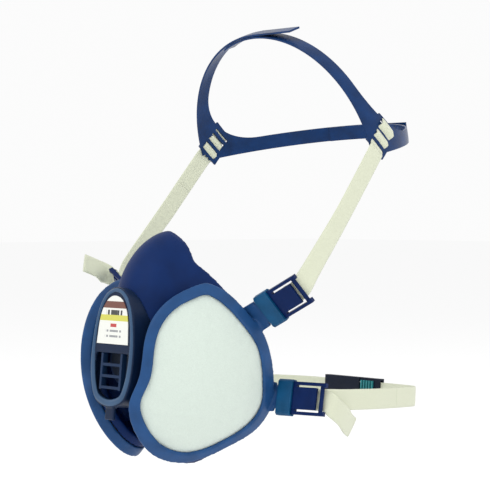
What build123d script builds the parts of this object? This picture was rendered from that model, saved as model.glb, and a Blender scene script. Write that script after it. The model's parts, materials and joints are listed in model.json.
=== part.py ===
from build123d import *
import math
import os

# Half-mask dust respirator with two side filters, an exhalation valve, a head cradle and a neck strap.
# Millimetres. The wearer looks along -Y, the wearer's left is +X, +Z is up, and the origin is the
# centre of the face opening. Left pieces are modelled, right pieces are their mirror images.

# ---- driving dimensions -------------------------------------------------------------------------
WALL = 2.6                      # moulded facepiece wall
LIP = 2.4                       # in-turned face seal
GAP = 0.3                       # running gap between pieces that move on each other
CLEAR = 0.1                     # between pieces stacked on each other
STACK_CLEAR = 0.15              # round the filter layers, inside the rim's wall
RIM_CLEAR = 0.5                 # between the rim and the facepiece's filter cup
POCKET_MARGIN = 2.8             # wall that the facepiece keeps round each filter pocket
BOSS_INSET = 20.0               # the duct's boss, from the rim's outline
BOSS_FROM = 48.0                # and from the filter sphere's centre

FILTER_CENTRE = Vector(-24, -8.3, -5.4)   # centre of the sphere that the left filter face lies on
FILTER_RADIUS = 82.0
FILTER_AZIMUTH = 68.0           # of the filter's middle, from straight ahead towards the left
FILTER_TILT = -7.8
RIM_DEPTH = 7.0                 # height of the bright rim's side wall
RIM_LIP = 2.2                   # thickness of the rim's turned-in lip
RIM_WALL = 3.0
CUP_WALL = 2.4
PAD_DEPTH = 3.2                 # fluffy prefilter
CARBON_DEPTH = 3.6
GRID_DEPTH = 1.6
FLOOR_DEPTH = 1.9
GRID_HOLE_RADIUS = 3.4
GRID_HOLE_REACH = 9.0           # ring of breathing holes in the grid
WINDOW_RADIUS = 16.0            # breathing duct behind each filter
FLAP_RADIUS = 12.5
FLAP_THICKNESS = 0.8

STRAP_WIDTH = 12.7
STRAP_THICKNESS = 1.3
PIVOT_CLEAR = 13.0              # a swinging strap starts this far from its buckle bar
UPPER_CLEAR = 17.0              # and the upper one, which passes a free end, this far

COVER_TILT = 5.8                # lean of the exhalation cover's front face
COVER_DEPTH = 15.0
COVER_WALL = 1.8

CRADLE_CENTRE = Vector(0, 77, 122)
CRADLE_RADIUS = 78.0
CRADLE_SHEET = 1.2
CRADLE_BAND = 9.5
CRADLE_OVERLAP = 30.0           # each half runs this far past the middle

# The rim's outline on the filter sphere: arc lengths towards the rear and up from its middle.
OUTER = [
    (7, 59), (20.5, 50.5), (32, 37.5), (42.5, 24.5), (48.5, 8), (52.5, -9), (53.5, -27), (45, -39.5),
    (28, -47.5), (9.5, -56.5), (-8, -61.8), (-27, -55.5), (-41, -38), (-46.5, -17), (-41.5, 0),
    (-39.3, 17), (-34.5, 35), (-20, 50.5), (-5, 57.5),
]
# The rim's inner edge, wider at the rear, where the lip is broad.
INNER = [
    (5.5, 51), (16, 43), (26, 31.5), (35, 19.5), (39.5, 6.5), (42, -9), (42.5, -24), (35, -34),
    (22, -41.5), (8, -48.5), (-8, -52), (-23, -46), (-34.5, -32), (-39.5, -16), (-34.8, -1),
    (-32.8, 15), (-29, 30.5), (-18, 43.5), (-5, 49.8),
]

# ---- filter frame -------------------------------------------------------------------------------
azimuth = math.radians(FILTER_AZIMUTH)
tilt = math.radians(FILTER_TILT)
NORMAL = Vector(math.sin(azimuth) * math.cos(tilt), -math.cos(azimuth) * math.cos(tilt), math.sin(tilt))
REAR = Vector(0, 0, 1).cross(NORMAL).normalized()
UP = NORMAL.cross(REAR)


def direction(rearward, upward):
    """Unit vector from the filter sphere's centre to a point given by arc lengths on its face."""
    reach = math.hypot(rearward, upward)
    if reach == 0:
        return NORMAL
    angle = reach / FILTER_RADIUS
    side = (REAR * rearward + UP * upward) * (1 / reach)
    return NORMAL * math.cos(angle) + side * math.sin(angle)


def inset(outline, distance):
    """The outline's directions, each moved inwards by an arc length."""
    rays = [direction(*point) for point in outline]
    moved = []
    for index, ray in enumerate(rays):
        along = (rays[(index + 1) % len(rays)] - rays[index - 1]).normalized()
        inward = ray.cross(along).normalized()
        if inward.dot(NORMAL - ray) < 0:
            inward = inward * -1
        angle = distance / FILTER_RADIUS
        moved.append((ray * math.cos(angle) + inward * math.sin(angle)).normalized())
    return moved


def cone(rays, near=40.0, far=90.0):
    """Solid cone from the sphere's centre through closed rays, between two planes across NORMAL."""
    wires = []
    for height in (near, far):
        points = [FILTER_CENTRE + ray * (height / ray.dot(NORMAL)) for ray in rays]
        wires.append(Wire([Edge.make_spline(points, periodic=True)]))
    return Solid.make_loft(wires, ruled=True)


def ball(radius):
    return Pos(*FILTER_CENTRE) * Sphere(radius)


def layer(rays, top, depth):
    """The part of a cone between two radii of the filter sphere."""
    return Part() + (cone(rays) & (ball(top) - ball(top - depth)))


def filter_disc(radius, top, depth, rearward=0.0, upward=0.0):
    """Short round piece about the filter's axis, its outer face at a distance from the centre."""
    plane = Plane(FILTER_CENTRE + NORMAL * (top - depth) + REAR * rearward + UP * upward, REAR, NORMAL)
    return plane * Cylinder(radius, depth, align=(Align.CENTER, Align.CENTER, Align.MIN))


def block(start, end, across, width, thickness):
    """Flat bar from start to end, its width along across."""
    along = end - start
    facing = along.cross(across).normalized()
    plane = Plane((start + end) * 0.5, along.normalized(), facing)
    return plane * Box(along.length, width, thickness)


def mirrored(part):
    return mirror(part, about=Plane.YZ)


def save(name, part):
    shape = part if isinstance(part, (Part, Compound, Solid)) else Part() + part
    export_step(shape, f"parts/{name}.step")
    print(name, round(shape.volume), [round(v) for v in shape.bounding_box().size])


os.makedirs("parts", exist_ok=True)
radius_pad = FILTER_RADIUS - RIM_LIP - CLEAR
radius_carbon = radius_pad - PAD_DEPTH - CLEAR
radius_grid = radius_carbon - CARBON_DEPTH - CLEAR
radius_floor = radius_grid - GRID_DEPTH - CLEAR

# ---- buckle frames ------------------------------------------------------------------------------
# Each has its origin on the strap bar, X along the lug away from the mask, Z towards the front.
UPPER_BAR = Vector(84, 2, 35)
LOWER_BAR = Vector(80, 23, -30)


def buckle_plane(bar, outward, facing):
    along = outward.normalized()
    front = (facing - along * facing.dot(along)).normalized()
    return Plane(bar, x_dir=along, z_dir=front)


UPPER_BUCKLE = buckle_plane(UPPER_BAR, Vector(0.88, 0.125, 0.458), Vector(0.33, -0.85, -0.40))
LOWER_BUCKLE = buckle_plane(LOWER_BAR, Vector(0.97, 0.241, 0), Vector(0.235, -0.948, 0.21))
UPPER_LUG = 39.5                # from the bar back to inside the rim's wall
LOWER_LUG = 34.0

LUG_WIDTH = 13.0
LUG_THICKNESS = 3.0
COLLAR_FROM = -27.0
COLLAR_TO = -17.0
COLLAR_WIDTH = 22.0
COLLAR_THICKNESS = 6.4
PLATE_WIDTH = 13.4
PLATE_THICKNESS = 1.8
PRONG_WIDTH = 1.9
PRONG_OUT = 9.9                 # outer side of a prong from the middle
PRONG_TIP = 5.5


def span(x0, x1, y0, y1, z0, z1):
    """Box between two corners, whatever their order."""
    centre = ((x0 + x1) / 2, (y0 + y1) / 2, (z0 + z1) / 2)
    return Pos(*centre) * Box(abs(x1 - x0), abs(y1 - y0), abs(z1 - z0))


def lug(reach):
    """Tab from inside the rim wall to inside the collar."""
    tab = span(-reach, COLLAR_TO - 3, -LUG_WIDTH / 2, LUG_WIDTH / 2, -LUG_THICKNESS / 2, LUG_THICKNESS / 2)
    step = span(-reach, COLLAR_FROM - 2.5, -LUG_WIDTH / 2 - 2.5, LUG_WIDTH / 2 + 2.5, -1.2, 1.2)
    return tab + step


def collar():
    body = span(COLLAR_FROM, COLLAR_TO, -COLLAR_WIDTH / 2, COLLAR_WIDTH / 2,
                -COLLAR_THICKNESS / 2, COLLAR_THICKNESS / 2)
    body = chamfer(body.edges().filter_by(Axis.X), 1.4)
    mouth = span(COLLAR_FROM - 1, COLLAR_TO - 2.9, -LUG_WIDTH / 2 - 0.1, LUG_WIDTH / 2 + 0.1,
                 -LUG_THICKNESS / 2 - 0.1, LUG_THICKNESS / 2 + 0.1)
    socket = span(COLLAR_TO - 2, COLLAR_TO + 1, -PRONG_OUT - 0.05, PRONG_OUT + 0.05, -1.45, 1.45)
    return body - mouth - socket


def frame():
    """Forked strap frame: root in the collar, plate, two hooked prongs and the bar behind the plate."""
    root = span(COLLAR_TO - 1.9, COLLAR_TO + 2.5, -PRONG_OUT, PRONG_OUT, -1.35, 1.35)
    plate = span(COLLAR_TO, -0.5, -PLATE_WIDTH / 2, PLATE_WIDTH / 2, -0.2, -0.2 + PLATE_THICKNESS)
    body = root + plate
    for side in (-1, 1):
        inner = PRONG_OUT - PRONG_WIDTH
        body += span(COLLAR_TO, PRONG_TIP, side * inner, side * PRONG_OUT, -1.35, 1.35)
        body += span(PRONG_TIP - 2.2, PRONG_TIP, side * (inner - 0.8), side * PRONG_OUT, -1.35, 1.35)
    bar = Pos(2.2, 0, -0.9) * Rot(90, 0, 0) * Cylinder(1.3, 2 * PRONG_OUT - 1)
    return body + bar


def strap_loop():
    """Webbing turned round the bar: two short leaves, joined ahead of the bar."""
    half = STRAP_WIDTH / 2
    front = span(1.5, 8.0, -half, half, 0.55, 0.55 + STRAP_THICKNESS)
    turn = span(3.7, 8.0, -half, half, -3.8, 1.2)
    back = span(-9.0, 8.0, -half, half, -3.8, -3.8 + STRAP_THICKNESS)
    return front + turn + back


# ---- facepiece ----------------------------------------------------------------------------------
def egg(centre, radii, shrink=0.0):
    sizes = [radius - shrink for radius in radii]
    return Pos(*centre) * scale(Sphere(1), by=tuple(sizes))


def profile_cut(shift):
    """Everything behind the face seal's side profile, moved forwards by shift."""
    seal = [(-24, 95), (-24, 53), (-9, 33), (10, 15), (17, -4), (18, -18), (14, -40), (-5, -62), (-24, -95)]
    line = Polyline(*[(0, y - shift, z) for y, z in seal])
    closing = Polyline((0, seal[-1][0] - shift, seal[-1][1]), (0, 130, -95), (0, 130, 95),
                       (0, seal[0][0] - shift, seal[0][1]))
    face = make_face([line, closing])
    return extrude(face, amount=90, dir=(1, 0, 0), both=True)


def crest(drop=0.0):
    """Space under the nose's pointed arch, which narrows the nose to a ridge at its top."""
    top, shoulder, foot = (0, 71), (13.5, 64.5), (27, 50.5)
    right = ThreePointArc(top, shoulder, foot)
    sides = Polyline(foot, (60, foot[1]), (60, -95), (-60, -95), (-60, foot[1]), (-foot[0], foot[1]))
    left = ThreePointArc((-foot[0], foot[1]), (-shoulder[0], shoulder[1]), top)
    face = make_face([right, sides, left])
    return Pos(0, 0, -drop) * Rot(90, 0, 0) * extrude(face, amount=120, both=True)


def nose(shrink=0.0):
    return egg(NOSE_CENTRE, NOSE_RADII, shrink) & crest(1.2 * shrink)


OPENING_FROM = -30.0            # the face opening is cut from inside the cavity, backwards


def face_opening():
    half = [(9, 43), (14, 30), (21, 12), (28, -8), (29, -26), (20, -43)]
    points = [(0, 47)] + half + [(0, -49)] + [(-x, z) for x, z in reversed(half)]
    outline = Spline(*[(x, OPENING_FROM, z) for x, z in points], periodic=True)
    return extrude(make_face(outline), amount=90, dir=(0, 1, 0))


BODY_CENTRE, BODY_RADII = (0, 5, -2), (43, 62, 74)
NOSE_CENTRE, NOSE_RADII = (0, -18, 18), (30, 44, 53.5)
EXHALE_Z = -8.0
SEAT_RADIUS = 15.0
SEAT_FRONT = -59.0              # the exhalation valve's sealing face

outside = egg(BODY_CENTRE, BODY_RADII) + nose() - profile_cut(0)
inside = egg(BODY_CENTRE, BODY_RADII, WALL) + nose(WALL) - profile_cut(LIP)
# Behind a filter the cavity stops short of the pocket, and a wall is left all round the rim.
under_floor = ball(radius_floor - FLOOR_DEPTH)
rim_foot = FILTER_RADIUS - RIM_DEPTH - CLEAR
pocket_zone = cone(inset(OUTER, -POCKET_MARGIN)) & (ball(FILTER_RADIUS + 40) - under_floor)
inside -= pocket_zone + mirrored(pocket_zone)
cup_outside = cone(inset(OUTER, RIM_CLEAR)) & (ball(rim_foot) - under_floor)
boss = cone(inset(OUTER, BOSS_INSET)) & (ball(radius_floor - 0.5) - ball(BOSS_FROM))
cup_inside = cone(inset(OUTER, RIM_CLEAR + CUP_WALL)) & (ball(FILTER_RADIUS + 2) - ball(radius_floor))
rim_space = cone(inset(OUTER, -RIM_CLEAR - CLEAR)) & (ball(FILTER_RADIUS + 20) - ball(rim_foot))
duct = filter_disc(WINDOW_RADIUS, radius_floor + 4, 34)

facepiece = outside + cup_outside + mirrored(cup_outside) + boss + mirrored(boss)
facepiece -= rim_space + mirrored(rim_space)
facepiece -= cup_inside + mirrored(cup_inside)
facepiece -= inside
facepiece -= face_opening()
facepiece -= duct + mirrored(duct)
valve_hole = Pos(0, -60, EXHALE_Z) * Rot(90, 0, 0) * Cylinder(SEAT_RADIUS, 24)
facepiece -= valve_hole
facepiece = Part() + max(facepiece.solids(), key=lambda solid: solid.volume)
save("facepiece", facepiece)

# ---- filters ------------------------------------------------------------------------------------
rim_ring = layer(inset(OUTER, 0), FILTER_RADIUS, RIM_DEPTH)
rim_ring -= cone(inset(INNER, 0))
rim_ring -= layer(inset(OUTER, RIM_WALL), FILTER_RADIUS - RIM_LIP, RIM_DEPTH)
hollow = cone(inset(OUTER, RIM_WALL)) & ball(FILTER_RADIUS - 0.3)
lugs = UPPER_BUCKLE * lug(UPPER_LUG) + LOWER_BUCKLE * lug(LOWER_LUG)
rim = rim_ring + (lugs - hollow)
stack_rays = inset(OUTER, RIM_WALL + STACK_CLEAR)
prefilter = layer(stack_rays, radius_pad, PAD_DEPTH)
carbon = layer(stack_rays, radius_carbon, CARBON_DEPTH)
grid = layer(stack_rays, radius_grid, GRID_DEPTH)
for angle in range(0, 360, 60):
    rearward = GRID_HOLE_REACH * math.cos(math.radians(angle))
    upward = GRID_HOLE_REACH * math.sin(math.radians(angle))
    grid -= filter_disc(GRID_HOLE_RADIUS, radius_grid + 3, 8, rearward, upward)
seat = filter_disc(WINDOW_RADIUS - CLEAR, radius_floor + GAP, FLOOR_DEPTH)
seat -= filter_disc(FLAP_RADIUS - 2, radius_floor + 3, 12)
grid += seat
flap = filter_disc(FLAP_RADIUS, radius_floor + GAP - FLOOR_DEPTH - STACK_CLEAR, FLAP_THICKNESS)
for node, part in (("filter_rim", rim), ("prefilter", prefilter), ("carbon_bed", carbon),
                   ("filter_grid", grid), ("inhalation_flap", flap)):
    save(f"left_{node}", part)
    save(f"right_{node}", mirrored(part))

# ---- exhalation valve ---------------------------------------------------------------------------
def valve_ring(radius, front, depth):
    return Pos(0, front + depth / 2, EXHALE_Z) * Rot(90, 0, 0) * Cylinder(radius, depth)


exhale_seat = valve_ring(SEAT_RADIUS - 0.05, SEAT_FRONT, 5.0) - valve_ring(10.8, SEAT_FRONT - 1, 8)
for angle in (0, 60, 120):
    spoke = Pos(0, SEAT_FRONT + 2.2, EXHALE_Z) * Rot(0, angle, 0) * Box(22.5, 1.8, 1.6)
    exhale_seat += spoke
exhale_seat += valve_ring(2.6, SEAT_FRONT + 0.6, 2.6)
exhale_flap = valve_ring(FLAP_RADIUS, SEAT_FRONT - 0.2 - FLAP_THICKNESS, FLAP_THICKNESS)
save("exhalation_valve_seat", exhale_seat)
save("exhalation_flap", exhale_flap)

# ---- exhalation cover ---------------------------------------------------------------------------
MOUTH_TOP = -2.0                # the mouth is the teardrop's lower half, inside a margin
MOUTH_MARGIN = 5.0
LABEL_FOOT = 3.5                # and the label its upper half
LABEL_MARGIN = 5.2
RAIL_X = 9.0                    # the guard's two rails, from the middle
RUNG_PITCH = 6.8
GUARD_FOOT = MOUTH_TOP - 3 * RUNG_PITCH - 0.85
COVER_FACE = Plane((0, -69.6, 0), x_dir=(1, 0, 0),
                   z_dir=(0, -math.cos(math.radians(COVER_TILT)), math.sin(math.radians(COVER_TILT))))


def teardrop(shrink=0.0):
    """The cover's outline in its front plane, x across and y up."""
    half = [(8.5, 34.5), (14.8, 26), (18.6, 12), (20, -4), (18.6, -18), (13, -30)]
    middle = Vector(0, 2)
    points = [(0, 37.5)] + half + [(0, -34)] + [(-x, y) for x, y in reversed(half)]
    moved = []
    for x, y in points:
        out = Vector(x, y) - middle
        out = middle + out * ((out.length - shrink) / out.length)
        moved.append((out.X, out.Y))
    return make_face(Spline(*moved, periodic=True))


filter_space = cone(inset(OUTER, -0.5), far=100.0)
cover = COVER_FACE * extrude(teardrop(), amount=-COVER_DEPTH)
cover -= COVER_FACE * Pos(0, 0, -COVER_WALL) * extrude(teardrop(COVER_WALL), amount=-COVER_DEPTH)
mouth_outline = teardrop(MOUTH_MARGIN) - Pos(0, MOUTH_TOP + 50, 0) * Rectangle(100, 100)
cover -= COVER_FACE * extrude(mouth_outline, amount=8, both=True)
body_space = egg(BODY_CENTRE, BODY_RADII, -STACK_CLEAR) + egg(NOSE_CENTRE, NOSE_RADII, -STACK_CLEAR)
tab = COVER_FACE * (Pos(0, -37, -2.5) * Box(8, 9, 2.2))
for blocked in (filter_space, mirrored(filter_space), body_space):
    cover -= blocked
cover = Part() + max(cover.solids(), key=lambda solid: solid.volume)
cover += tab
save("valve_cover", cover)

guard = COVER_FACE * (Pos(0, MOUTH_TOP + 1.4, -2.9) * Box(2 * RAIL_X + 6, 2.0, 1.8))
for x in (-RAIL_X, RAIL_X):
    rail = Box(1.8, MOUTH_TOP - GUARD_FOOT + 2.8, 3.6)
    guard += COVER_FACE * (Pos(x, (MOUTH_TOP + GUARD_FOOT) / 2 + 1, -2.0) * rail)
for rung in range(1, 4):
    guard += COVER_FACE * (Pos(0, MOUTH_TOP - RUNG_PITCH * rung, -1.1) * Box(2 * RAIL_X, 1.7, 1.7))
guard -= COVER_FACE * extrude(teardrop() - mouth_outline, amount=-COVER_WALL - 0.05)
save("cover_guard", guard)
label_outline = teardrop(LABEL_MARGIN) - Pos(0, LABEL_FOOT - 50, 0) * Rectangle(100, 100)
label = COVER_FACE * (Pos(0, 0, 0.25) * extrude(label_outline, amount=0.2, both=True))
save("cover_label", label)

# ---- buckles ------------------------------------------------------------------------------------
for level, plane in (("upper", UPPER_BUCKLE), ("lower", LOWER_BUCKLE)):
    for name, piece in (("collar", collar()), ("buckle", frame()), ("strap_loop", strap_loop())):
        save(f"{level}_left_{name}", plane * piece)
        right = mirrored(plane * piece)
        if name == "strap_loop" and level == "upper":
            bar = Vector(-UPPER_BAR.X, UPPER_BAR.Y, UPPER_BAR.Z)
            tail = block(bar + Vector(-5.5, 1, 3), bar + Vector(-8, -20, 14),
                         Vector(-0.31, 0.50, 0.81), STRAP_WIDTH, STRAP_THICKNESS)
            right += tail
        save(f"{level}_right_{name}", right)

# The free end of the lower left strap hangs beside it.
lower_tail = block(LOWER_BAR + Vector(5.5, 13, -11), LOWER_BAR + Vector(-12, 42, -24),
                   Vector(0.15, 0.55, 0.8), STRAP_WIDTH, STRAP_THICKNESS)
save("lower_left_strap_tail", lower_tail)

# ---- head cradle --------------------------------------------------------------------------------
CROWN_ARM = Vector(0, -0.347, 0.938)
REAR_ARM = Vector(0, 0.982, 0.191)
STRAP_ARM = Vector(0, -0.65, -0.76)
PLATE_FROM, PLATE_TO = -20.0, 2.0     # along the strap arm from the cradle's middle
PLATE_HALF = 9.4
SLOT_FROM = -17.2
SLOT_WIDTH = 1.7
SLOT_PITCH = 3.9
SLOT_COUNT = 5
WEB_REACH = 40.0                # how far along both bands the corner's web fairs into them
WEB_DEPTH = 19.4                # and its narrowest place from the middle


def side_band(arm, length, width, start=0.0):
    """Strip in the side view from the cradle's middle along an arm, run right through in X."""
    begin = CRADLE_CENTRE + arm * start
    end = CRADLE_CENTRE + arm * length
    return block(begin, end, Vector(1, 0, 0), 2 * (CRADLE_RADIUS + 4), width)


def corner_web():
    """The broad corner between the bands, with one long hollow curve towards the head opening."""
    middle = CRADLE_CENTRE
    behind_crown = CROWN_ARM.cross(Vector(1, 0, 0))
    above_rear = Vector(1, 0, 0).cross(REAR_ARM)
    half = CRADLE_BAND / 2
    crown_end = middle + CROWN_ARM * WEB_REACH + behind_crown * half
    rear_end = middle + REAR_ARM * WEB_REACH + above_rear * half
    bisector = (CROWN_ARM + REAR_ARM).normalized()
    low = middle - bisector * 3
    curve = ThreePointArc(crown_end, middle + bisector * WEB_DEPTH, rear_end)
    face = make_face([curve, Line(rear_end, low), Line(low, crown_end)])
    return extrude(face, amount=CRADLE_RADIUS + 4, dir=(1, 0, 0), both=True)


def side_shape():
    shape = side_band(CROWN_ARM, 90, CRADLE_BAND) + side_band(REAR_ARM, 90, CRADLE_BAND)
    shape += side_band(STRAP_ARM, PLATE_TO, 2 * PLATE_HALF, PLATE_FROM)
    shape += corner_web()
    for index in range(SLOT_COUNT):
        at = SLOT_FROM + SLOT_PITCH * index
        shape -= side_band(STRAP_ARM, at + SLOT_WIDTH, STRAP_WIDTH + 0.6, at)
    return shape


def dome(radius):
    return Pos(*CRADLE_CENTRE) * Sphere(radius)


inner_radius = CRADLE_RADIUS - 0.15
outer_radius = CRADLE_RADIUS + CRADLE_SHEET + 0.15
shape = side_shape()
left_side = span(-CRADLE_OVERLAP, 120, -100, 300, -100, 300)
right_side = span(-120, 0, -100, 300, -100, 300)
cradle_left = shape & (dome(inner_radius) - dome(inner_radius - CRADLE_SHEET)) & left_side
cradle_right = shape & (dome(outer_radius) - dome(outer_radius - CRADLE_SHEET)) & right_side
for arm in (CROWN_ARM, REAR_ARM):
    height = CRADLE_CENTRE + arm * (outer_radius - CRADLE_SHEET / 2)
    cradle_right += block(height - Vector(0.5, 0, 0), height + Vector(CRADLE_OVERLAP + 3, 0, 0),
                          Vector(1, 0, 0).cross(arm), CRADLE_BAND, CRADLE_SHEET)
save("cradle_left", cradle_left)
save("cradle_right", cradle_right)

# ---- straps -------------------------------------------------------------------------------------
STRAP_END = -8.0                # the upper straps end over the cradle's slots
corner = CRADLE_CENTRE + Vector(CRADLE_RADIUS + 2.4, 0, 0) + STRAP_ARM * STRAP_END
run = (corner - UPPER_BAR).normalized()
across = Vector(0.12, 0.68, -0.70)
upper_strap = block(UPPER_BAR + run * UPPER_CLEAR, corner, across, STRAP_WIDTH, STRAP_THICKNESS)
save("upper_left_strap", upper_strap)
save("upper_right_strap", mirrored(upper_strap))

NECK_LEAN = -3.5                # the neck strap hangs down a little towards the nape
CLASP_X = -12.0                 # the clasp lies a little to the right of the nape
CLASP_Y = 140.0
CLASP_Z = -29.0
STRAP_Z = -30.5                 # height of the neck webbing's middle
CLASP_FROM, CLASP_TO = CLASP_X - 14.0, CLASP_X + 36.0


def leaning(part):
    """The neck harness is drawn level and leans about the lower strap bars."""
    return Pos(0, LOWER_BAR.Y, LOWER_BAR.Z) * Rot(NECK_LEAN, 0, 0) * Pos(0, -LOWER_BAR.Y, -LOWER_BAR.Z) * part


def ribbon(points, radii):
    """Webbing standing on edge along a flat route."""
    route = FilletPolyline(*points, radius=radii)
    section = Plane(route @ 0, x_dir=(0, 0, 1), z_dir=route % 0) * Rectangle(STRAP_WIDTH, STRAP_THICKNESS)
    return sweep(section, path=route)


start_y = LOWER_BAR.Y + PIVOT_CLEAR
left_route = [(79.0, start_y, STRAP_Z), (75, 78, STRAP_Z), (65, 122, STRAP_Z), (52, CLASP_Y, STRAP_Z),
              (CLASP_TO + 0.6, CLASP_Y, STRAP_Z)]
right_route = [(-79.0, start_y, STRAP_Z), (-73, 84, STRAP_Z), (-56, 127, STRAP_Z), (-38, 139.5, STRAP_Z),
               (CLASP_FROM + 3, CLASP_Y, STRAP_Z)]
lower_left = ribbon(left_route, (60, 18, 12))
lower_right = ribbon(right_route, (60, 26, 20))
save("lower_left_strap", leaning(lower_left))
save("lower_right_strap", leaning(lower_right))

# ---- neck clasp ---------------------------------------------------------------------------------
def clasp_span(x0, x1, y0, y1, z0, z1):
    """Box given from the clasp's own middle."""
    return span(CLASP_X + x0, CLASP_X + x1, CLASP_Y + y0, CLASP_Y + y1, CLASP_Z + z0, CLASP_Z + z1)


receiver = clasp_span(-14, 18, -2.6, 2.6, -8.2, 7.2)
receiver -= clasp_span(4, 19, -1.7, 3, -5.2, 4.2)
receiver -= clasp_span(-15, -8.5, -0.9, 0.9, -8.0, 6.0)
hook = clasp_span(19, 36, -2.4, 2.4, -8.2, 7.2)
hook += clasp_span(5, 20, -1.3, 1.5, -4.7, 3.7)
hook -= clasp_span(30.5, 37, -0.9, 0.9, -8.0, 6.0)
for index in range(5):
    hook += clasp_span(20 + 2.4 * index, 21.1 + 2.4 * index, -3.6, -2.4, -3.5, 5.5)
save("clasp_receiver", leaning(receiver))
save("clasp_hook", leaning(hook))
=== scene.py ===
import json
import math

import bmesh
import bpy
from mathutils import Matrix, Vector, noise

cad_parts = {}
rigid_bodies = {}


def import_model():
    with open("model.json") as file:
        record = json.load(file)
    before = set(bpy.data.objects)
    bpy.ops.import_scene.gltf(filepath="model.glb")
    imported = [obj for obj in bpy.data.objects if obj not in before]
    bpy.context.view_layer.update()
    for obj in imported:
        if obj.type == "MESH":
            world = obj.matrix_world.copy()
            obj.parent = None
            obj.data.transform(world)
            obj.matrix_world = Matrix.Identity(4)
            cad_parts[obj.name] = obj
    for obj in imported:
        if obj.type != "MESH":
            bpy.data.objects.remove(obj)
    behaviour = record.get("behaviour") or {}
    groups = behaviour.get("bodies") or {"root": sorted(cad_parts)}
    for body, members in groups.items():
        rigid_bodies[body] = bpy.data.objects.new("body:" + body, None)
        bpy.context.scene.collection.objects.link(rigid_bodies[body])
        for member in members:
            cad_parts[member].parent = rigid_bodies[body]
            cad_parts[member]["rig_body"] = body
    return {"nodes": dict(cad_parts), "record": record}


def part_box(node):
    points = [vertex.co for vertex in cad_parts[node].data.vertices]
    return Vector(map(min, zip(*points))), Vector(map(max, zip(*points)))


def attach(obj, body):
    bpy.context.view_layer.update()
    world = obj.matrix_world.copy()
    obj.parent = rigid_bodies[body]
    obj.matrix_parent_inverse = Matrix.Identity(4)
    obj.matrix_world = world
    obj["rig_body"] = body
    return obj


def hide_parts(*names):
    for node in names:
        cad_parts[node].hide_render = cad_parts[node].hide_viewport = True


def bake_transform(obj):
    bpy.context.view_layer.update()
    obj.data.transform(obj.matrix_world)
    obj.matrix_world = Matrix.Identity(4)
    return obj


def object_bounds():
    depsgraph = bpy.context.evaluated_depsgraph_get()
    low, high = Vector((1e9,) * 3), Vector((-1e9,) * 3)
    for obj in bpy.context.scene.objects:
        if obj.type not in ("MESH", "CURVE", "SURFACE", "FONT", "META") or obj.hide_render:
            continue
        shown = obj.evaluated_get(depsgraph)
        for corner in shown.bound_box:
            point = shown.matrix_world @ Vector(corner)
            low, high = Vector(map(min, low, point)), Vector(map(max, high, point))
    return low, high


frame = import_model()
cad_low, cad_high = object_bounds()
MM = 0.001


def mm(x, y, z):
    """Vector in metres from millimetres."""
    return Vector((x, y, z)) * MM


# ---- camera, light and world backdrop -----------------------------------------------------------
scene = bpy.context.scene
scene.view_settings.view_transform = "Standard"
scene.view_settings.look = "None"

TARGET = mm(19.1, 20.5, 61.5)
CAMERA_AZIMUTH = math.radians(47)
CAMERA_ELEVATION = math.radians(1)
CAMERA_DISTANCE = 1.1
backwards = Vector((math.sin(CAMERA_AZIMUTH) * math.cos(CAMERA_ELEVATION),
                    -math.cos(CAMERA_AZIMUTH) * math.cos(CAMERA_ELEVATION),
                    math.sin(CAMERA_ELEVATION)))
camera = bpy.data.objects.new("camera", bpy.data.cameras.new("camera"))
camera.data.lens = 130.35
camera.data.sensor_width = 36
camera.location = TARGET + backwards * CAMERA_DISTANCE
camera.rotation_euler = (-backwards).to_track_quat("-Z", "Y").to_euler()
scene.collection.objects.link(camera)
scene.camera = camera


def area_light(name, place, power, size):
    """Square lamp at place, turned to the middle of the mask."""
    lamp = bpy.data.lights.new(name, "AREA")
    lamp.energy = power
    lamp.size = size
    holder = bpy.data.objects.new(name, lamp)
    holder.location = place
    holder.rotation_euler = (Vector(place) - mm(0, 20, 60)).to_track_quat("Z", "Y").to_euler()
    scene.collection.objects.link(holder)


area_light("key", (0.35, -1.3, 1.3), 6.5, 0.9)
area_light("fill", (1.5, 0.1, 0.7), 2.5, 1.2)
area_light("left_fill", (-1.3, -0.7, 0.9), 2.0, 1.2)
area_light("back", (0.1, 1.5, 1.2), 2.5, 1.2)

world = bpy.data.worlds.new("world")
world.use_nodes = True
world.node_tree.nodes["Background"].inputs[0].default_value = (1.0, 1.0, 1.0, 1)
world.node_tree.nodes["Background"].inputs[1].default_value = 0.97
scene.world = world


# ---- materials ----------------------------------------------------------------------------------
def new_material(name):
    """Empty node material with its nodes and links."""
    material = bpy.data.materials.new(name)
    material.use_nodes = True
    return material, material.node_tree.nodes, material.node_tree.links


def shade(colour, factor):
    """The colour made lighter or darker, with alpha."""
    return tuple(min(1.0, c * factor) for c in colour) + (1,)


def calculate(nodes, links, operation, first, second=None):
    """Output of one math node, whose inputs are sockets or plain numbers."""
    node = nodes.new("ShaderNodeMath")
    node.operation = operation
    for slot, value in enumerate((first, second)):
        if value is None:
            continue
        if isinstance(value, (int, float)):
            node.inputs[slot].default_value = value
        else:
            links.new(value, node.inputs[slot])
    return node.outputs[0]


def object_coords(nodes):
    """The piece's own coordinates in metres."""
    return nodes.new("ShaderNodeTexCoord").outputs["Object"]


def noise_of(nodes, links, coords, scale, detail=2, distortion=0.0):
    """Height of a noise texture over the given coordinates."""
    texture = nodes.new("ShaderNodeTexNoise")
    texture.inputs["Scale"].default_value = scale
    texture.inputs["Detail"].default_value = detail
    texture.inputs["Distortion"].default_value = distortion
    links.new(coords, texture.inputs["Vector"])
    return texture.outputs["Fac"]


def two_tone(nodes, links, factor, low, high):
    """Colour that runs from low to high, each a (position, colour) pair, as factor grows."""
    ramp = nodes.new("ShaderNodeValToRGB")
    for element, (position, colour) in zip(ramp.color_ramp.elements, (low, high)):
        element.position = position
        element.color = colour
    links.new(factor, ramp.inputs["Fac"])
    return ramp.outputs["Color"]


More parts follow.
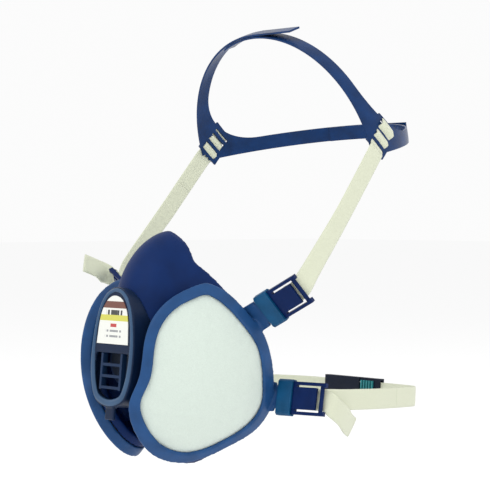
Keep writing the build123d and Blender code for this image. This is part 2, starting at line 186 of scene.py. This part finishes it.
def add_relief(nodes, links, height, strength, distance):
    """Bump of the shader's normal from a height socket."""
    relief = nodes.new("ShaderNodeBump")
    relief.inputs["Strength"].default_value = strength
    relief.inputs["Distance"].default_value = distance
    links.new(height, relief.inputs["Height"])
    links.new(relief.outputs["Normal"], nodes["Principled BSDF"].inputs["Normal"])
    return relief


MOULD_GRAIN = 2600
MOULD_MOTTLE = 90


def moulded(name, colour, rough=0.45, variation=0.12, bump=0.12, coat=0.0, specular=0.5):
    """Moulded plastic or rubber: cloudy colour, uneven gloss and a fine spark-eroded grain."""
    material, nodes, links = new_material(name)
    shader = nodes["Principled BSDF"]
    shader.inputs["Coat Weight"].default_value = coat
    shader.inputs["Coat Roughness"].default_value = 0.25
    shader.inputs["Specular IOR Level"].default_value = specular
    coords = object_coords(nodes)
    cloud = noise_of(nodes, links, coords, MOULD_MOTTLE, detail=5)
    grain = noise_of(nodes, links, coords, MOULD_GRAIN)
    pale, deep = shade(colour, 1 + variation), shade(colour, 1 - variation)
    tone = two_tone(nodes, links, cloud, (0.3, deep), (0.7, pale))
    links.new(tone, shader.inputs["Base Color"])
    gloss = nodes.new("ShaderNodeMapRange")
    gloss.inputs["To Min"].default_value = rough - 0.06
    gloss.inputs["To Max"].default_value = rough + 0.08
    links.new(cloud, gloss.inputs["Value"])
    links.new(gloss.outputs["Result"], shader.inputs["Roughness"])
    add_relief(nodes, links, grain, bump, 0.2 * MM)
    return material


RIB_PITCH = 1.05 * MM
PICK_PITCH = 1.3 * MM


def webbing(name, colour):
    """Woven elastic: lengthwise ribs crossed by picks, from the ribbon's own lengths in metres, with
    painted shade in the weave's hollows.
    """
    material, nodes, links = new_material(name)
    shader = nodes["Principled BSDF"]
    shader.inputs["Roughness"].default_value = 0.85
    shader.inputs["Sheen Weight"].default_value = 0.35
    shader.inputs["Sheen Roughness"].default_value = 0.5
    shader.inputs["Specular IOR Level"].default_value = 0.2
    place = nodes.new("ShaderNodeUVMap")
    place.uv_map = "weave"
    split = nodes.new("ShaderNodeSeparateXYZ")
    links.new(place.outputs["UV"], split.inputs["Vector"])

    def thread(direction, pitch):
        """Wave across the threads that repeat at this pitch."""
        turns = calculate(nodes, links, "MULTIPLY", split.outputs[direction], 2 * math.pi / pitch)
        return calculate(nodes, links, "SINE", turns)

    rib = thread("X", RIB_PITCH)
    cross = calculate(nodes, links, "MULTIPLY", rib, thread("Y", PICK_PITCH))
    ribs = calculate(nodes, links, "ABSOLUTE", rib)
    weave = calculate(nodes, links, "ADD", calculate(nodes, links, "MULTIPLY", cross, 0.45), ribs)
    fibre = noise_of(nodes, links, object_coords(nodes), 2500, detail=4)
    height = calculate(nodes, links, "ADD", weave, calculate(nodes, links, "MULTIPLY", fibre, 0.8))
    # Lower parts of the weave are painted darker: painted shade in the hollows between threads, mixed
    # with random fibre tone.
    hollow_shade_and_fibre = calculate(nodes, links, "MULTIPLY", height, 0.6)
    tone = two_tone(nodes, links, hollow_shade_and_fibre, (0.05, shade(colour, 0.80)), (0.75, shade(colour, 1.04)))
    links.new(tone, shader.inputs["Base Color"])
    add_relief(nodes, links, height, 0.55, 0.22 * MM)
    return material


def felt(name, colour):
    """Needled fibre: tangled fine noise with soft sheen."""
    material, nodes, links = new_material(name)
    shader = nodes["Principled BSDF"]
    shader.inputs["Roughness"].default_value = 0.95
    shader.inputs["Sheen Weight"].default_value = 0.5
    shader.inputs["Sheen Roughness"].default_value = 0.6
    shader.inputs["Specular IOR Level"].default_value = 0.1
    coords = object_coords(nodes)
    lumps = noise_of(nodes, links, coords, 260, detail=3)
    fibre = noise_of(nodes, links, coords, 1500, detail=6, distortion=2.5)
    height = calculate(nodes, links, "ADD", fibre, calculate(nodes, links, "MULTIPLY", lumps, 0.8))
    tone = two_tone(nodes, links, fibre, (0.3, shade(colour, 0.90)), (0.65, shade(colour, 1.04)))
    links.new(tone, shader.inputs["Base Color"])
    add_relief(nodes, links, height, 0.5, 0.5 * MM)
    return material


def granules(name, colour):
    """Packed grains: cells with a painted highlight in their middle and painted shade between them."""
    material, nodes, links = new_material(name)
    shader = nodes["Principled BSDF"]
    shader.inputs["Roughness"].default_value = 0.7
    cells = nodes.new("ShaderNodeTexVoronoi")
    cells.inputs["Scale"].default_value = 900
    links.new(object_coords(nodes), cells.inputs["Vector"])
    distance = cells.outputs["Distance"]
    # The bright middles are a painted highlight on each grain, and the dark edges are painted shade
    # between the grains.
    tone = two_tone(nodes, links, distance, (0.0, shade(colour, 1.8)), (1.0, shade(colour, 0.5)))
    links.new(tone, shader.inputs["Base Color"])
    add_relief(nodes, links, distance, 1.0, 0.6 * MM).invert = True
    return material


DASH_TURNS = 2100                # radians per metre across the label
DASHED_HALF = 7.5 * MM
CENTRE_HALF = 2.8 * MM


def printed_label(name, low, high):
    """White film, from its top: a brown band, dark blocks, a yellow band, a red bar and grey dashes."""
    material, nodes, links = new_material(name)
    shader = nodes["Principled BSDF"]
    shader.inputs["Roughness"].default_value = 0.35
    coords = object_coords(nodes)
    split = nodes.new("ShaderNodeSeparateXYZ")
    links.new(coords, split.inputs["Vector"])
    rise = nodes.new("ShaderNodeMapRange")
    rise.inputs["From Min"].default_value = low.z
    rise.inputs["From Max"].default_value = high.z
    links.new(split.outputs["Z"], rise.inputs["Value"])
    paper, grey, dark = (0.80, 0.81, 0.76, 1), (0.30, 0.31, 0.32, 1), (0.05, 0.05, 0.05, 1)
    brown, yellow, red = (0.16, 0.06, 0.04, 1), (0.62, 0.60, 0.10, 1), (0.50, 0.05, 0.05, 1)

    def stripes(*bands):
        """Colour by height up the label, each band given by its foot and its colour."""
        ramp = nodes.new("ShaderNodeValToRGB")
        ramp.color_ramp.interpolation = "CONSTANT"
        ramp.color_ramp.elements.remove(ramp.color_ramp.elements[1])
        ramp.color_ramp.elements[0].color = paper
        for position, colour in bands:
            ramp.color_ramp.elements.new(position).color = colour
        links.new(rise.outputs["Result"], ramp.inputs["Fac"])
        return ramp.outputs["Color"]

    def choose(factor, first, second):
        """The second colour where factor is 1, else the first."""
        mix = nodes.new("ShaderNodeMix")
        mix.data_type = "RGBA"
        links.new(factor, mix.inputs["Factor"])
        links.new(first, mix.inputs["A"])
        links.new(second, mix.inputs["B"])
        return mix.outputs["Result"]

    top = ((0.74, brown), (0.88, paper))
    blocks = ((0.48, yellow), (0.60, dark), (0.70, paper))
    dashes = ((0.14, grey), (0.18, paper), (0.25, grey), (0.29, paper))
    plain = stripes((0.48, yellow), (0.60, paper), *top)
    dashed = stripes(*dashes, *blocks, *top)
    central = stripes(*dashes, (0.35, red), (0.42, paper), *blocks, *top)
    across = calculate(nodes, links, "ABSOLUTE", split.outputs["X"])
    turns = calculate(nodes, links, "MULTIPLY", split.outputs["X"], DASH_TURNS)
    wave = calculate(nodes, links, "SINE", turns)
    inside = calculate(nodes, links, "LESS_THAN", across, DASHED_HALF)
    crest = calculate(nodes, links, "GREATER_THAN", wave, -0.3)
    dash = calculate(nodes, links, "MULTIPLY", inside, crest)
    centre = calculate(nodes, links, "LESS_THAN", across, CENTRE_HALF)
    links.new(choose(centre, choose(dash, plain, dashed), central), shader.inputs["Base Color"])
    add_relief(nodes, links, noise_of(nodes, links, coords, 700), 0.1, 0.2 * MM)
    return material


label_low, label_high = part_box("cover_label")
FINISH = {
    "facepiece": moulded("soft_navy_rubber", (0.002, 0.019, 0.098), rough=0.5, bump=0.15, specular=0.12),
    "filter_rim": moulded("bright_blue_plastic", (0.014, 0.065, 0.19), rough=0.4, variation=0.15,
                          specular=0.2),
    "filter_pad": felt("white_felt", (0.66, 0.75, 0.68)),
    "carbon": granules("carbon_granules", (0.03, 0.03, 0.034)),
    "grid": moulded("grid_plastic", (0.015, 0.035, 0.10), rough=0.5),
    "valve_rubber": moulded("valve_silicone", (0.012, 0.022, 0.045), rough=0.4, bump=0.05),
    "cover": moulded("dark_blue_plastic", (0.005, 0.016, 0.048), rough=0.36, specular=0.18),
    # The bead's lighter blue is a painted highlight along the cover's edge, not a second plastic.
    "bead": moulded("cover_bead_painted_highlight", (0.035, 0.085, 0.17), rough=0.35, specular=0.3),
    "guard": moulded("guard_plastic", (0.006, 0.024, 0.07), rough=0.45, specular=0.2),
    "label": printed_label("printed_film", label_low, label_high),
    "collar": moulded("teal_plastic", (0.003, 0.066, 0.165), rough=0.38, variation=0.2, specular=0.2),
    "buckle": moulded("buckle_plastic", (0.001, 0.013, 0.076), rough=0.35, specular=0.12),
    "elastic": webbing("woven_elastic", (0.72, 0.75, 0.58)),
    "cradle": moulded("cradle_plastic", (0.002, 0.028, 0.112), rough=0.3, coat=0.06, variation=0.25,
                      specular=0.16),
    "clasp": moulded("clasp_plastic", (0.002, 0.006, 0.020), rough=0.4, specular=0.2),
    "teeth": moulded("clasp_teeth_plastic", (0.02, 0.22, 0.24), rough=0.45),
}
slot_of = {part["node"]: part["material_slot"] for part in frame["record"]["subparts"]}
for name, node in frame["nodes"].items():
    node.data.materials.clear()
    node.data.materials.append(FINISH[slot_of[name]])


# ---- mesh helpers -------------------------------------------------------------------------------
def add_object(name, mesh):
    """Object with this mesh, linked to the scene."""
    piece = bpy.data.objects.new(name, mesh)
    scene.collection.objects.link(piece)
    return piece


def bake_modifiers(piece):
    """Puts what the modifiers make into the piece's own mesh."""
    bpy.context.view_layer.update()
    graph = bpy.context.evaluated_depsgraph_get()
    mesh = bpy.data.meshes.new_from_object(piece.evaluated_get(graph))
    piece.modifiers.clear()
    piece.data = mesh
    return piece


def copy_of(node, name):
    """A welded copy of a CAD node's mesh, without its split vertices."""
    mesh = bmesh.new()
    mesh.from_mesh(frame["nodes"][node].data)
    bmesh.ops.remove_doubles(mesh, verts=mesh.verts, dist=2e-6)
    data = bpy.data.meshes.new(name)
    mesh.to_mesh(data)
    mesh.free()
    for attribute in ("sharp_face", "custom_normal"):
        if attribute in data.attributes:
            data.attributes.remove(data.attributes[attribute])
    return add_object(name, data)


def smooth_shaded(piece):
    """Blends the shading across the piece's faces."""
    for face in piece.data.polygons:
        face.use_smooth = True


def finish_piece(piece, node, slot):
    """Gives the piece its material and lets it stand for the CAD node on the node's own body."""
    piece.data.materials.clear()
    piece.data.materials.append(FINISH[slot])
    smooth_shaded(piece)
    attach(piece, frame["nodes"][node]["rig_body"])
    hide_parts(node)
    return piece


def softened(node, name, voxel, passes):
    """The CAD shape with its edges rounded, as rubber and moulded plastic have them."""
    piece = copy_of(node, name)
    remesh = piece.modifiers.new("remesh", "REMESH")
    remesh.mode = "VOXEL"
    remesh.voxel_size = voxel
    smooth = piece.modifiers.new("smooth", "SMOOTH")
    smooth.factor = 0.5
    smooth.iterations = passes
    return bake_modifiers(piece)


def bevelled(node, name, width):
    """The CAD shape with its sharp edges broken."""
    piece = copy_of(node, name)
    mesh = bmesh.new()
    mesh.from_mesh(piece.data)
    bmesh.ops.dissolve_limit(mesh, angle_limit=math.radians(1), verts=mesh.verts, edges=mesh.edges)
    mesh.to_mesh(piece.data)
    mesh.free()
    bevel = piece.modifiers.new("bevel", "BEVEL")
    bevel.width = width
    bevel.segments = 2
    bevel.limit_method = "ANGLE"
    bevel.angle_limit = math.radians(35)
    bevel.use_clamp_overlap = True
    normals = piece.modifiers.new("normals", "WEIGHTED_NORMAL")
    normals.keep_sharp = True
    return bake_modifiers(piece)


# ---- facepiece, rims, pads, cover ---------------------------------------------------------------
finish_piece(softened("facepiece", "facepiece_skin", 1.0 * MM, 9), "facepiece", "facepiece")
finish_piece(softened("valve_cover", "valve_cover_shell", 0.55 * MM, 5), "valve_cover", "cover")


def fuzzed(piece, coarse, fine):
    """Moves each point along its normal by two sizes of noise, for a lumpy fibrous face."""
    normals = [vertex.normal.copy() for vertex in piece.data.vertices]
    for vertex, normal in zip(piece.data.vertices, normals):
        lump = noise.noise(vertex.co * 160) * coarse + noise.noise(vertex.co * 700) * fine
        vertex.co += normal * lump
    return piece


for side in ("left", "right"):
    rim_node, pad_node = f"{side}_filter_rim", f"{side}_prefilter"
    finish_piece(softened(rim_node, f"{side}_rim_moulding", 0.7 * MM, 9), rim_node, "filter_rim")
    pad = fuzzed(softened(pad_node, f"{side}_felt_pad", 1.1 * MM, 4), 0.3 * MM, 0.15 * MM)
    finish_piece(pad, pad_node, "filter_pad")
    for level in ("upper", "lower"):
        for piece, slot, width in (("collar", "collar", 0.5 * MM), ("buckle", "buckle", 0.3 * MM)):
            node = f"{level}_{side}_{piece}"
            finish_piece(bevelled(node, f"{node}_moulding", width), node, slot)
    cradle_node = f"cradle_{side}"
    finish_piece(bevelled(cradle_node, f"{cradle_node}_moulding", 0.3 * MM), cradle_node, "cradle")
finish_piece(bevelled("cover_guard", "cover_guard_moulding", 0.25 * MM), "cover_guard", "guard")
finish_piece(bevelled("clasp_receiver", "clasp_receiver_moulding", 0.5 * MM), "clasp_receiver", "clasp")
hook = finish_piece(bevelled("clasp_hook", "clasp_hook_moulding", 0.3 * MM), "clasp_hook", "clasp")
hook.data.materials.append(FINISH["teeth"])


# ---- the cover's raised bead, lighter blue as a painted highlight -------------------------------
COVER_TILT = math.radians(5.8)
COVER_FRONT = mm(0, -69.6, 0)
COVER_UP = Vector((0, math.sin(COVER_TILT), math.cos(COVER_TILT)))
COVER_OUT = Vector((0, -math.cos(COVER_TILT), math.sin(COVER_TILT)))
COVER_HALF = [(0, 37.5), (8.5, 34.5), (14.8, 26), (18.6, 12), (20, -4), (18.6, -18), (13, -30),
              (0, -34)]
OUTLINE_SAMPLES = 8


def cubic(before, start, end, after, step):
    """Catmull-Rom point between start and end."""
    return 0.5 * (2 * start + (end - before) * step
                  + (2 * before - 5 * start + 4 * end - after) * step ** 2
                  + (3 * start - before - 3 * end + after) * step ** 3)


def closed_curve(points, samples):
    """Evenly stepped points on a smooth closed curve through points."""
    count = len(points)
    found = []
    for index in range(count):
        before, start = points[index - 1], points[index]
        end, after = points[(index + 1) % count], points[(index + 2) % count]
        for part in range(samples):
            found.append(cubic(before, start, end, after, part / samples))
    return found


def cover_outline():
    """The cover's teardrop edge, counter-clockwise, as (across, up) in millimetres."""
    right = [Vector(point) for point in COVER_HALF]
    left = [Vector((-point.x, point.y)) for point in reversed(right[1:-1])]
    return closed_curve(right + left, OUTLINE_SAMPLES)


def on_cover(point, proud):
    """Place on the cover's front face, proud of it, all in millimetres."""
    return COVER_FRONT + (Vector((1, 0, 0)) * point.x + COVER_UP * point.y + COVER_OUT * proud) * MM


def bead(name, outer, inner_at, height):
    """Half-round band round the cover's edge, coloured lighter as a painted highlight: outer margin,
    inner margin by height up, and crown.
    """
    outline = cover_outline()
    steps = 10
    verts, faces = [], []
    count = len(outline)
    for index, point in enumerate(outline):
        along = (outline[(index + 1) % count] - outline[index - 1]).normalized()
        inward = Vector((along.y, -along.x))
        if inward.dot(Vector((0, 2)) - point) < 0:
            inward = -inward
        inner = inner_at(point.y)
        for part in range(steps + 1):
            share = part / steps
            lift = height * math.sin(math.pi * share) ** 0.6 - 0.3
            verts.append(on_cover(point + inward * (outer + (inner - outer) * share), lift))
    ring = steps + 1
    for index in range(count):
        base, after = index * ring, (index + 1) % count * ring
        for part in range(steps):
            faces.append((base + part, after + part, after + part + 1, base + part + 1))
        faces.append((base, base + steps, after + steps, after))
    mesh = bpy.data.meshes.new(name)
    mesh.from_pydata(verts, [], faces)
    tidy = bmesh.new()
    tidy.from_mesh(mesh)
    bmesh.ops.recalc_face_normals(tidy, faces=tidy.faces)
    tidy.to_mesh(mesh)
    tidy.free()
    piece = add_object(name, mesh)
    mesh.materials.append(FINISH["bead"])
    smooth_shaded(piece)
    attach(piece, "mask")
    return piece


def bead_margin(height):
    """The band is narrow round the label and broad beside the mouth."""
    share = min(1.0, max(0.0, (12 - height) / 24))
    return 3.2 + 1.5 * share


bead("cover_bead", 0.5, bead_margin, 1.1)


# ---- smooth paths -------------------------------------------------------------------------------
def catmull(points, index, step):
    """Point on the smooth curve through points, between index and index + 1."""
    last = len(points) - 1
    before = points[max(index - 1, 0)]
    start, end = points[index], points[index + 1]
    after = points[min(index + 2, last)]
    return cubic(before, start, end, after, step)


def sampled(points, spacing):
    """Evenly spaced places on the curve as (index, step) pairs with the length up to each."""
    fine = []
    for index in range(len(points) - 1):
        for part in range(24):
            fine.append((index, part / 24))
    fine.append((len(points) - 2, 1.0))
    places = [(fine[0], 0.0)]
    travelled, length, last = 0.0, 0.0, catmull(points, *fine[0])
    for place in fine[1:]:
        here = catmull(points, *place)
        length += (here - last).length
        travelled += (here - last).length
        last = here
        if travelled >= spacing:
            places.append((place, length))
            travelled = 0.0
    if places[-1][0] != fine[-1]:
        places.append((fine[-1], length))
    return places


STRAP_WIDTH = 12.7 * MM
STRAP_THICKNESS = 1.2 * MM


STRAP_COLUMNS = 14
STRAP_STEP = 1.2 * MM
RIB_HEIGHT = 0.05 * MM


def strap(name, route, across):
    """Flat webbing through route's points, its width along across, which is given at each point."""
    columns = STRAP_COLUMNS
    verts, faces, lengths = [], [], []
    places = sampled(route, STRAP_STEP)
    for (index, step), length in places:
        centre = catmull(route, index, step)
        ahead = catmull(route, index, min(step + 0.02, 1.0))
        behind = catmull(route, index, max(step - 0.02, 0.0))
        along = (ahead - behind).normalized()
        wide = across[index].lerp(across[index + 1], step)
        wide = (wide - along * wide.dot(along)).normalized()
        facing = along.cross(wide)
        lengths.append(length)
        for row in (1, -1):
            for column in range(columns + 1):
                u = -1 + 2 * column / columns
                crown = 1 - abs(u) ** 10 * 0.55
                rib = RIB_HEIGHT * (column % 2) * (abs(u) < 0.99)
                offset = row * (STRAP_THICKNESS / 2 * crown + rib)
                verts.append(centre + wide * (u * STRAP_WIDTH / 2) + facing * offset)
    ring = 2 * (columns + 1)
    count = len(places)
    for segment in range(count - 1):
        base, after = segment * ring, (segment + 1) * ring
        for column in range(columns):
            faces.append((base + column, after + column, after + column + 1, base + column + 1))
            under = columns + 1 + column
            faces.append((base + under, base + under + 1, after + under + 1, after + under))
        faces.append((base + columns, after + columns, after + ring - 1, base + ring - 1))
        faces.append((base, base + columns + 1, after + columns + 1, after))
    for base, flip in ((0, False), ((count - 1) * ring, True)):
        for column in range(columns):
            under = base + columns + 1 + column
            cap = (base + column, base + column + 1, under + 1, under)
            faces.append(cap[::-1] if flip else cap)
    mesh = bpy.data.meshes.new(name)
    mesh.from_pydata(verts, [], faces)
    layer = mesh.uv_layers.new(name="weave")
    for loop in mesh.loops:
        row, place = loop.vertex_index % ring, loop.vertex_index // ring
        column = row % (columns + 1)
        layer.data[loop.index].uv = (column / columns * STRAP_WIDTH, lengths[place])
    mesh.validate()
    piece = add_object(name, mesh)
    mesh.materials.append(FINISH["elastic"])
    smooth_shaded(piece)
    piece["strap_length"] = lengths[-1]
    return piece


# ---- where the straps run -----------------------------------------------------------------------
def flip(vector, side):
    """The vector for the wearer's left, or its mirror image for the right."""
    return vector if side == "left" else Vector((-vector.x, vector.y, vector.z))


def buckle_axes(outward, facing):
    """A left buckle's own directions: outwards, along its bar, and to its front."""
    along = outward.normalized()
    front = (facing - along * facing.dot(along)).normalized()
    return along, front.cross(along), front


UPPER_BAR = mm(84, 2, 35)
LOWER_BAR = mm(80, 23, -30)
UPPER_AXES = buckle_axes(Vector((0.88, 0.125, 0.458)), Vector((0.33, -0.85, -0.40)))
LOWER_AXES = buckle_axes(Vector((0.97, 0.241, 0)), Vector((0.235, -0.948, 0.21)))
CRADLE_MIDDLE = mm(0, 77, 122)
STRAP_ARM = Vector((0, -0.65, -0.76))
SLOT_MIDDLES = [-16.35, -12.45, -8.55, -4.65, -0.75]


def at_buckle(bar, axes, x, z):
    """Point in a left buckle's middle plane, x outwards and z to its front, in millimetres."""
    return bar + axes[0] * (x * MM) + axes[2] * (z * MM)


def upper_route(plate_radius):
    """Up from behind the buckle plate to the cradle corner, then in and out of its slots."""
    weave_side = 1.35
    top = CRADLE_MIDDLE + STRAP_ARM * 6 * MM + mm(plate_radius + 2.0, 0, 0)
    run = (top - UPPER_BAR).normalized()
    route = [at_buckle(UPPER_BAR, UPPER_AXES, -8, -3.2), at_buckle(UPPER_BAR, UPPER_AXES, -0.5, -3.3),
             UPPER_BAR + run * 9 * MM + mm(1.0, 0, 0), UPPER_BAR + run * 22 * MM + mm(1.2, 0, 0),
             UPPER_BAR + run * 60 * MM + mm(0.8, 1.0, 0), top]
    outwards = True
    stops = [2.2]
    for middle in reversed(SLOT_MIDDLES):
        stops += [middle, middle - 1.95]
    for index, stop in enumerate(stops):
        crossing = index % 2 == 1
        side_step = 0 if crossing else (weave_side if outwards else -weave_side)
        if not crossing:
            outwards = not outwards
        route.append(CRADLE_MIDDLE + STRAP_ARM * stop * MM + mm(plate_radius + side_step, 0, 0))
    across = [UPPER_AXES[1]] * 3 + [(UPPER_AXES[1] * 0.5 + Vector((0, -0.76, 0.65)) * 0.5)]
    across += [Vector((0, -0.76, 0.65))] * (len(route) - 4)
    return route, across, run


LEFT_PLATE = 77.25
RIGHT_PLATE = 78.75
route, across, run = upper_route(LEFT_PLATE)
upper_left = strap("upper_left_webbing", route, across)
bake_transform(upper_left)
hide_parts("upper_left_strap", "upper_left_strap_loop")

route, across, run = upper_route(RIGHT_PLATE)
SPLIT = 5
route = [flip(point, "right") for point in route]
across = [flip(point, "right") for point in across]
run = flip(run, "right")
bar = flip(UPPER_BAR, "right")
middle = (route[SPLIT - 1] + route[SPLIT]) / 2
middle_across = across[SPLIT]
lower_part = strap("upper_right_webbing_lower", route[:SPLIT] + [middle],
                   across[:SPLIT] + [middle_across])
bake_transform(lower_part)
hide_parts("upper_right_strap_loop")
upper_part = strap("upper_right_webbing_upper", [middle] + route[SPLIT:],
                   [middle_across] + across[SPLIT:])
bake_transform(upper_part)
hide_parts("upper_right_strap")

# The neck harness is laid out level and then leans about the lower bars, as the CAD's does.
NECK_LEAN = math.radians(-3.5)
CLASP_Y = 140.0
STRAP_Z = -30.5
CLASP_FROM, CLASP_TO = -26.0, 24.0


def leant(x, y, z):
    """Place in metres of a point given in the level layout, in millimetres."""
    out, up = y * MM - LOWER_BAR.y, z * MM - LOWER_BAR.z
    return Vector((x * MM, LOWER_BAR.y + out * math.cos(NECK_LEAN) - up * math.sin(NECK_LEAN),
                   LOWER_BAR.z + out * math.sin(NECK_LEAN) + up * math.cos(NECK_LEAN)))


UPRIGHT = (leant(0, CLASP_Y, 1) - leant(0, CLASP_Y, 0)).normalized()

# The hook's grip ribs stand in front of its body and have a second colour.
HOOK_FRONT = leant(0, CLASP_Y - 2.45, 0)
HOOK_INWARD = UPRIGHT.cross(Vector((1, 0, 0)))
for polygon in hook.data.polygons:
    if (polygon.center - HOOK_FRONT).dot(HOOK_INWARD) < 0:
        polygon.material_index = 1


def lower_start(side):
    """A lower strap's first two points, behind the buckle's plate and at its bar."""
    points = [at_buckle(LOWER_BAR, LOWER_AXES, -8, -3.2), at_buckle(LOWER_BAR, LOWER_AXES, -1, -3.6)]
    return [flip(point, side) for point in points]


def lower_across(side, count):
    """Width directions of a lower strap, from along the buckle's bar to upright."""
    first = flip(LOWER_AXES[1], side)
    return [first] * 2 + [first.lerp(UPRIGHT, 0.6)] + [UPRIGHT] * (count - 3)


left_run = [leant(80, 33, -30.2), leant(78.5, 48, STRAP_Z), leant(75.5, 78, STRAP_Z),
            leant(70, 103, STRAP_Z)]
left_route = lower_start("left") + left_run
lower_left_a = strap("lower_left_webbing", left_route, lower_across("left", len(left_route)))
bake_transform(lower_left_a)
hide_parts("lower_left_strap")
end_route = [left_run[-1], leant(64.5, 122, STRAP_Z), leant(60, 132.5, STRAP_Z),
             leant(52.5, 138.6, STRAP_Z), leant(42, CLASP_Y, STRAP_Z),
             leant(CLASP_TO - 3, CLASP_Y, STRAP_Z)]
lower_left_b = strap("neck_webbing_left_end", end_route, [UPRIGHT] * len(end_route))
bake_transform(lower_left_b)

right_run = [leant(-80, 33, -30.2), leant(-78, 50, STRAP_Z), leant(-73, 84, STRAP_Z),
             leant(-66, 108, STRAP_Z), leant(-55, 127, STRAP_Z), leant(-42, 137.6, STRAP_Z),
             leant(-33, 139.8, STRAP_Z), leant(CLASP_FROM + 3, CLASP_Y, STRAP_Z)]
right_route = lower_start("right") + right_run
lower_right = strap("lower_right_webbing", right_route, lower_across("right", len(right_route)))
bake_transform(lower_right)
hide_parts("lower_right_strap", "lower_right_strap_loop")

# The free ends of the lower left and the upper right strap, past their buckles.
tail_route = [at_buckle(LOWER_BAR, LOWER_AXES, -6, -4.7), at_buckle(LOWER_BAR, LOWER_AXES, 3.0, -4.6),
              LOWER_BAR + mm(5.2, 9, -5.5), LOWER_BAR + mm(2.5, 19, -11), LOWER_BAR + mm(-4, 30, -17),
              LOWER_BAR + mm(-11, 41, -21)]
tail_wide = Vector((0.15, 0.46, 0.87))
lower_tail = strap("lower_left_free_end", tail_route, [LOWER_AXES[1]] * 2 + [tail_wide] * 4)
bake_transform(lower_tail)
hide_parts("lower_left_strap_loop", "lower_left_strap_tail")
upper_tail_route = [flip(at_buckle(UPPER_BAR, UPPER_AXES, -6, -4.9), "right"),
                    flip(at_buckle(UPPER_BAR, UPPER_AXES, 4.0, -3.0), "right"),
                    bar + mm(-5.5, -2, 5), bar + mm(-6.5, -11, 10), bar + mm(-8, -21, 14)]
tail_across = [flip(UPPER_AXES[1], "right")] * 3 + [Vector((-0.31, 0.50, 0.81))] * 2
upper_tail = strap("upper_right_free_end", upper_tail_route, tail_across)
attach(upper_tail, "mask")

# ---- floor --------------------------------------------------------------------------------------
FLOOR_HALF = 12.0
FLOOR_WHITE = (0.975, 0.975, 0.975)
FLOOR_DROP = 0.095                   # clears the neck strap at its lowest swing
floor_z = cad_low.z - FLOOR_DROP
corners = [(x * FLOOR_HALF, y * FLOOR_HALF, floor_z) for x, y in ((-1, -1), (1, -1), (1, 1), (-1, 1))]
floor_mesh = bpy.data.meshes.new("floor")
floor_mesh.from_pydata(corners, [], [(0, 1, 2, 3)])
floor_mesh.materials.append(
    moulded("pale_floor", FLOOR_WHITE, rough=0.95, variation=0.0, bump=0.0, specular=0.0))
floor = add_object("floor", floor_mesh)
